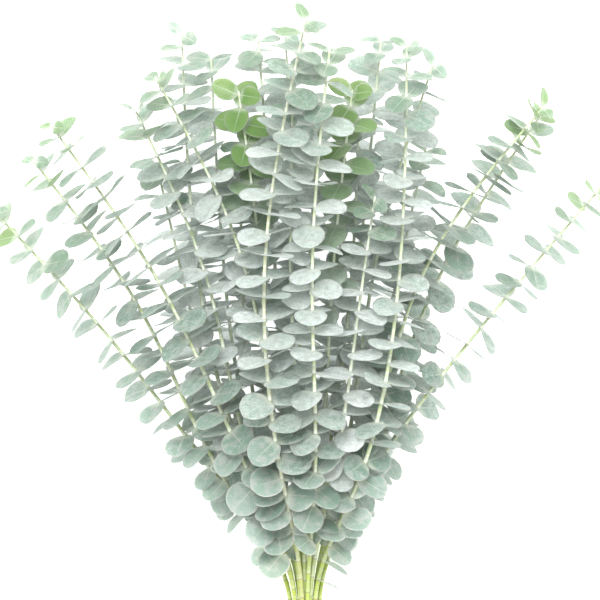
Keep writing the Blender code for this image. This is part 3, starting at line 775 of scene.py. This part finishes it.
def stemMaterial(paint):
    # Young eucalyptus shoot: smooth green bark, bright yellow-green below each node, a collar of
    # white wax at it, reddish where the sun reached it, and a cut end of pale moist wood.
    material, tree = newMaterial("greenEucalyptusBark")
    stalk = addNode(tree, "Attribute", {"attribute_name": "stalk"}, {}, "Vector")
    nodeMm, share, skin = addNode(tree, "SeparateXYZ", {}, {0: stalk}).node.outputs
    blushWaxAndPaintedLight = addNode(tree, "Attribute", {"attribute_name": "blushWaxAndPaintedLight"}, {}, "Vector")
    blush, waxAndPaintedLight, _ = addNode(tree, "SeparateXYZ", {}, {0: blushWaxAndPaintedLight}).node.outputs
    place = addNode(tree, "TexCoord", {}, {}, "Object")
    drawnOut = addNode(tree, "Mapping", {}, {"Vector": place, "Scale": paint["streaks"]})
    streak = addNode(tree, "TexNoise", {}, {"Vector": drawnOut, "Scale": 1.0, "Detail": 3.0})
    farMm = addNode(tree, "Math", absolute, {0: nodeMm})
    sockets = {"nodeMm": nodeMm, "farMm": farMm, "share": share, "streak": streak, "skin": skin}
    ramps = {}
    for name, (socket, *limits) in stemRamps.items():
        inputs = {0: sockets[socket], **dict(enumerate(limits, 1))}
        ramps[name] = addNode(tree, "MapRange", smoothStep, inputs)
    products = {
        "bright": (ramps["underNode"], ramps["beforeNode"], ramps["lowUnder"], paint["underShow"]),
        "blush": (blush, ramps["sunny"]),
        "collar": (ramps["collarStart"], ramps["collarEnd"], paint["collarWax"]),
        "streaky": (streak, paint["streakWax"]),
        "extraWaxAndPaintedLight": (waxAndPaintedLight, paint["extraWaxAndPaintedLight"]),
        "scar": (ramps["scarLine"], ramps["lowScar"]),
    }
    shares = {}
    for name, (product, *factors) in products.items():
        for factor in factors:
            product = addNode(tree, "Math", multiply, {0: product, 1: factor})
        shares[name] = product
    # Wax white on the bark, with painted light: the branch's first trait adds white to branches lying in
    # shade inside the heap.
    waxWithPaintedLight = addNode(tree, "Math", add, {0: shares["collar"], 1: shares["streaky"]})
    waxWithPaintedLight = addNode(tree, "Math", add, {0: waxWithPaintedLight, 1: shares["extraWaxAndPaintedLight"]})
    waxWithPaintedLight = addNode(tree, "Math", multiply, {0: waxWithPaintedLight, 1: ramps["highWax"]})
    layers = (
        (shares["bright"], "bright"),
        (ramps["lowBright"], "bright"),
        (shares["blush"], "blush"),
        (waxWithPaintedLight, "waxed"),
        (shares["scar"], "scar"),
        (ramps["cut"], "pith"),
    )
    colour = linear(paint["grown"])
    for amount, name in layers:  # each lies over the ones before it
        shades = {"Factor": amount, 6: colour, 7: linear(paint[name])}
        colour = addNode(tree, "Mix", colourMix, shades, 2)
    bark = {
        "Base Color": colour,
        "Roughness": 0.48,
        "IOR": 1.45,
        "Normal": addNode(tree, "Bump", {}, {"Strength": 0.3, "Distance": 0.0004, "Height": streak}),
    }
    addNode(tree, "OutputMaterial", {}, {"Surface": addNode(tree, "BsdfPrincipled", {}, bark)})
    return material


raffiaPaint = {
    "straw": "#cdb184",
    "dry": "#a4834f",
    "fibreMm": 0.35,
    "fibreStretch": 0.03,  # width of a fibre's pattern over its length
}


def raffiaMaterial(paint):
    # Natural raffia: flat dry palm fibre, split along its length, silky along the fibres.
    material, tree = newMaterial("naturalRaffia")
    weave = addNode(tree, "Attribute", {"attribute_name": "weave"}, {}, "Vector")
    fine = 1 / paint["fibreMm"]
    scale = (fine * paint["fibreStretch"], fine, fine)
    drawnOut = addNode(tree, "Mapping", {}, {"Vector": weave, "Scale": scale})
    fibres = {"Vector": drawnOut, "Scale": 1.0, "Detail": 4.0, "Roughness": 0.65}
    fibre = addNode(tree, "TexNoise", {}, fibres)
    share = addNode(tree, "MapRange", {}, {0: fibre, 1: 0.3, 2: 0.7})
    shades = {"Factor": share, 6: linear(paint["dry"]), 7: linear(paint["straw"])}
    fibreSkin = {
        "Base Color": addNode(tree, "Mix", colourMix, shades, 2),
        "Roughness": 0.62,
        "Normal": addNode(tree, "Bump", {}, {"Strength": 0.6, "Distance": 0.0003, "Height": fibre}),
        "Sheen Weight": 0.2,
    }
    addNode(tree, "OutputMaterial", {}, {"Surface": addNode(tree, "BsdfPrincipled", {}, fibreSkin)})
    return material


# How washed with wax its leaves are, and painted light on top of that: branches lying in shade inside the
# heap are painted paler and the lit outer and front ones darker; how green its tip is, how red its bark
# is.
branchTraits = {
    "branch_left_1": (0.00, 0.0, 0.03),
    "branch_left_2": (0.00, 0.0, 0.05),
    "branch_left_3": (0.10, 0.0, 0.12),
    "branch_left_4": (0.55, 0.0, 0.05),
    "branch_left_5": (0.45, 0.0, 0.07),
    "branch_left_6": (0.85, 0.0, 0.05),
    "branch_left_7": (1.00, 0.0, 0.00),
    "branch_left_8": (0.50, 1.3, 0.00),
    "branch_centre_1": (1.00, 0.0, 0.05),
    "branch_centre_2": (0.95, 0.0, 0.10),
    "branch_centre_3": (0.42, 0.0, 0.40),
    "branch_centre_4": (0.50, 0.0, 0.03),
    "branch_centre_5": (0.50, 1.3, 0.00),
    "branch_right_1": (1.00, 0.0, 0.00),
    "branch_right_2": (0.45, 0.0, 0.05),
    "branch_right_3": (0.85, 0.0, 0.05),
    "branch_right_4": (0.05, 0.0, 0.07),
    "branch_right_5": (0.10, 0.0, 0.05),
    "branch_right_6": (0.00, 0.0, 0.03),
    "branch_inner_1": (1.00, 0.0, 0.05),
    "branch_inner_2": (1.00, 0.0, 0.00),
    "branch_inner_3": (1.00, 0.0, 0.05),
    "branch_inner_4": (0.90, 0.0, 0.00),
    "branch_inner_5": (0.95, 0.0, 0.10),
    "branch_inner_6": (0.95, 0.0, 0.05),
    "branch_inner_7": (0.90, 0.0, 0.00),
}
leafSkin, stemSkin = leafMaterial(leafPaint), stemMaterial(stemPaint)
for number, (name, stem) in enumerate(stems.items()):
    dice = np.random.default_rng(500 + number)
    leavesPiece = makeLeaves(name, stem, grown[name], branchTraits[name], dice)
    placePiece(leavesPiece, leafSkin, name)
    stemPiece = makeStem(name, stem, routes[name][-1], branchTraits[name])
    placePiece(stemPiece, stemSkin, name)
print("branches: ", len(stems), "with leaves and bark")


def turnsLeft(a, b, c):  # whether the way from a over b to c bends anticlockwise
    return np.cross(np.subtract(b, a), np.subtract(c, b)) > 1e-12


def bandPath(reach, count):  # the closed line round all stems in the band, evenly spaced
    turns = math.tau * np.arange(24) / 24
    places = np.array([bandSlot(route) for route in routes.values()])
    around = places[:, None] + reach * np.stack([np.cos(turns), np.sin(turns)], axis=1)
    cloud = sorted(map(tuple, around.reshape(-1, 2)))
    outline = []
    for run in (cloud, cloud[::-1]):
        half = []
        for p in run:
            while len(half) > 1 and not turnsLeft(half[-2], half[-1], p):
                half.pop()
            half.append(p)
        outline += half[:-1]
    closed = np.array(outline + outline[:1])
    length = np.concatenate([[0], np.cumsum(np.linalg.norm(np.diff(closed, axis=0), axis=1))])
    even = np.linspace(0, length[-1], count, endpoint=False)
    return np.stack([np.interp(even, length, closed[:, k]) for k in (0, 1)], axis=1), even


def makeBand():
    # Strands side by side, each a flattened oval carried round the closed line; the strand's place
    # across the band waves by a sine so that the strands press into each other.
    count, around, strands = bandShape["rings"], bandShape["sides"], bandShape["strands"]
    width, wall = bandShape["width"], bandShape["wall"]
    path, even = bandPath(stemShape["foot"] + bandShape["gap"] + wall / 2, count)
    ahead = np.roll(path, -1, axis=0) - np.roll(path, 1, axis=0)
    ahead /= np.linalg.norm(ahead, axis=1, keepdims=True)
    outward = np.stack([ahead[:, 1], -ahead[:, 0]], axis=1)
    a = math.tau * np.arange(around) / around
    i, j = np.arange(count)[:, None], np.arange(around)[None]
    nextI, nextJ = (i + 1) % count, (j + 1) % around
    corners = [i * around + j, i * around + nextJ, nextI * around + nextJ, nextI * around + j]
    ring = np.stack(corners, axis=-1).reshape(-1, 4)
    points, faces = [], []
    for strand in range(strands):
        middle = -bandMiddle + (strand + 0.5 - strands / 2) * width / strands
        turn = math.tau * (even / even[-1] * bandShape["driftWaves"] + strand * 0.37)
        drift = bandShape["drift"] * np.sin(turn)[:, None]
        y = middle + drift + width / strands * bandShape["strandHalf"] * np.cos(a)[None]
        y = np.clip(y, -bandMiddle - width / 2, -bandMiddle + width / 2)
        out = wall / 2 * np.sin(a)[None] * (1 - bandShape["thinner"] * (strand % 2))
        x = path[:, 0, None] + outward[:, 0, None] * out
        z = path[:, 1, None] + outward[:, 1, None] * out
        points.append(np.stack([x, y, z], axis=-1).reshape(-1, 3))
        faces.append(ring + strand * count * around)
    points, faces = np.concatenate(points) + origin, np.concatenate(faces)
    piece = makeMesh("binding_band_raffia", points, faces.tolist())
    alongMm = np.tile(np.repeat(even * 1000, around), strands)
    acrossMm = np.tile(a * 1.2, count * strands)
    ownPattern = np.repeat(np.arange(strands) * 30.0, count * around)
    giveVectors(piece, "weave", alongMm, acrossMm, ownPattern)
    return piece


placePiece(makeBand(), raffiaMaterial(raffiaPaint), "binding_band")
print("band: ", bandShape["strands"], "strands of raffia")

stage = {
    "floor": "#f7f8f7",
    "floorHalf": 6,
    "floorGlow": 0.8,  # the floor is a light table
    "view": (-0.005, 0.318),  # what the camera looks at, from the band's middle
    "cameraHeight": 3.0,
    "fieldWidth": 0.600,
    "fieldHeight": 0.06,  # height at which the field has that width
    "sensorMm": 36,
    "world": 0.93,
}
lamps = {  # where it hangs, what it is aimed at, its size and its power
    "keyLight": ((-0.5, 1.45, 3.1), (0, 0.05, 0), 1.6, 98),
    "fillLight": ((1.8, -0.6, 2.4), (0, 0, 0), 2.5, 19.6),
}


def makeFloor():
    half = stage["floorHalf"]
    corners = [(-half, -half, 0), (half, -half, 0), (half, half, 0), (-half, half, 0)]
    piece = makeMesh("floor", corners, [(0, 1, 2, 3)])
    material, tree = newMaterial("mattPaperFloor")  # matt white paper with a lamp under it
    paper = {
        "Base Color": linear(stage["floor"]),
        "Roughness": 0.9,
        "Emission Color": (1, 1, 1, 1),
        "Emission Strength": stage["floorGlow"],
    }
    addNode(tree, "OutputMaterial", {}, {"Surface": addNode(tree, "BsdfPrincipled", {}, paper)})
    piece.data.materials.append(material)


makeFloor()
for name, (place, aim, size, watts) in lamps.items():
    light = bpy.data.lights.new(name, "AREA")
    light.size, light.energy = size, watts
    lamp = bpy.data.objects.new(name, light)
    lamp.location = place
    lamp.rotation_euler = (Vector(aim) - Vector(place)).to_track_quat("-Z", "Y").to_euler()
    bpy.context.scene.collection.objects.link(lamp)
world = bpy.data.worlds.new("studio")
world.use_nodes = True
background = world.node_tree.nodes["Background"]
background.inputs["Color"].default_value = (1, 1, 1, 1)
background.inputs["Strength"].default_value = stage["world"]
bpy.context.scene.world = world
bpy.context.scene.view_settings.view_transform = "Standard"

lens = bpy.data.cameras.new("camera")
lens.sensor_width = stage["sensorMm"]
lens.lens = lens.sensor_width * (stage["cameraHeight"] - stage["fieldHeight"]) / stage["fieldWidth"]
lens.clip_end = 50
camera = bpy.data.objects.new("camera", lens)
viewX, viewY = stage["view"]
camera.location = (origin[0] + viewX, origin[1] + viewY, stage["cameraHeight"])
bpy.context.scene.collection.objects.link(camera)
bpy.context.scene.camera = camera
print("camera: ", round(lens.lens), "mm, straight above")
